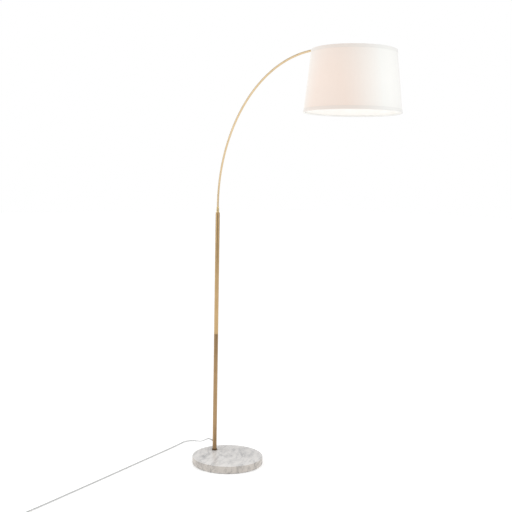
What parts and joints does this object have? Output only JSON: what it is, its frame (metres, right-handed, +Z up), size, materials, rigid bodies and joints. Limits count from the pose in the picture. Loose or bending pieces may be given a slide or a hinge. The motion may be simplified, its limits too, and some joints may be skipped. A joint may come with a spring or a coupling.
{
  "type": "arc floor lamp",
  "caption": "Arc floor lamp: round marble base, two-piece brass pole, thin swivelling arc arm, tilting linen drum shade and mains cord with plug.",
  "frame": {"origin": "where the pole's axis meets the floor, on the underside of the base's pad", "axes": "+Z up along the pole, +X towards the shade along the arc arm's plane"},
  "size_m": [1.3784, 1.3232, 1.8962],
  "materials": {
    "marble": "polished white marble with soft grey veins",
    "felt": "dark felt pad",
    "steel": "zinc-plated steel",
    "satin_brass": "satin brass plating",
    "dark_brass": "darkened brass",
    "nylon": "natural nylon",
    "linen": "off-white linen weave",
    "shade_liner": "white styrene liner",
    "white_wire": "white powder coat",
    "black_plastic": "black moulded plastic",
    "porcelain": "glazed porcelain",
    "frosted_glass": "frosted white glass",
    "cord_jacket": "clear PVC over silvery wires",
    "inner_lead": "white lead insulation"
  },
  "bodies": {
    "stand": {"floor_pad": "felt", "marble_base": "marble", "base_bolt": "steel", "base_washer": "steel", "base_lock_washer": "steel", "pole_foot_ring": "dark_brass", "pole_foot_insert": "steel", "lower_pole_tube": "satin_brass", "pole_joint_socket": "steel", "pole_joint_stud": "steel", "upper_pole_tube": "satin_brass", "pole_top_cap": "satin_brass", "swivel_bush": "nylon", "cord_strain_relief": "cord_jacket", "pole_lead": "inner_lead", "power_cord": "cord_jacket", "cord_coil": "cord_jacket", "cord_tie": "black_plastic", "plug_body": "cord_jacket", "plug_blade_1": "satin_brass", "plug_blade_2": "satin_brass"},
    "arm": {"arm_tube": "satin_brass", "arm_ferrule": "satin_brass", "ferrule_set_screw": "steel", "swivel_spring_washer": "steel", "swivel_lock_nut": "steel", "arm_lead": "inner_lead", "knuckle_upper": "satin_brass", "knuckle_screw": "dark_brass", "knuckle_nut": "dark_brass"},
    "shade_head": {"knuckle_lower": "satin_brass", "socket_nipple": "steel", "nipple_lock_nut": "steel", "spider_frame": "white_wire", "shade_bottom_ring": "white_wire", "shade_fabric": "linen", "shade_liner": "shade_liner", "top_hem_tape": "linen", "bottom_hem_tape": "linen", "socket_cap": "satin_brass", "socket_shell": "satin_brass", "insulating_core": "porcelain", "screw_shell": "satin_brass", "centre_contact": "satin_brass"},
    "knob": {"switch_knob": "black_plastic"},
    "bulb": {"bulb_glass": "frosted_glass", "bulb_screw_cap": "steel"}
  },
  "joints": [
    {"name": "arm_swivel", "type": "hinge", "parent": "stand", "child": "arm", "pos_m": [0, 0, 1.1975], "axis": [0, 0, 1], "range_deg": [-165, 165]},
    {"name": "shade_tilt", "type": "hinge", "parent": "arm", "child": "shade_head", "pos_m": [0.895, 0, 1.85], "axis": [0, 1, 0], "range_deg": [-30, 5]},
    {"name": "switch_knob_turn", "type": "hinge", "parent": "shade_head", "child": "knob", "pos_m": [0.914, 0, 1.81452], "axis": [1, 0, 0], "continuous": true},
    {"name": "bulb_change", "type": "slide", "parent": "shade_head", "child": "bulb", "axis": [0, 0, -1], "range_m": [0, 0.03]}
  ]
}
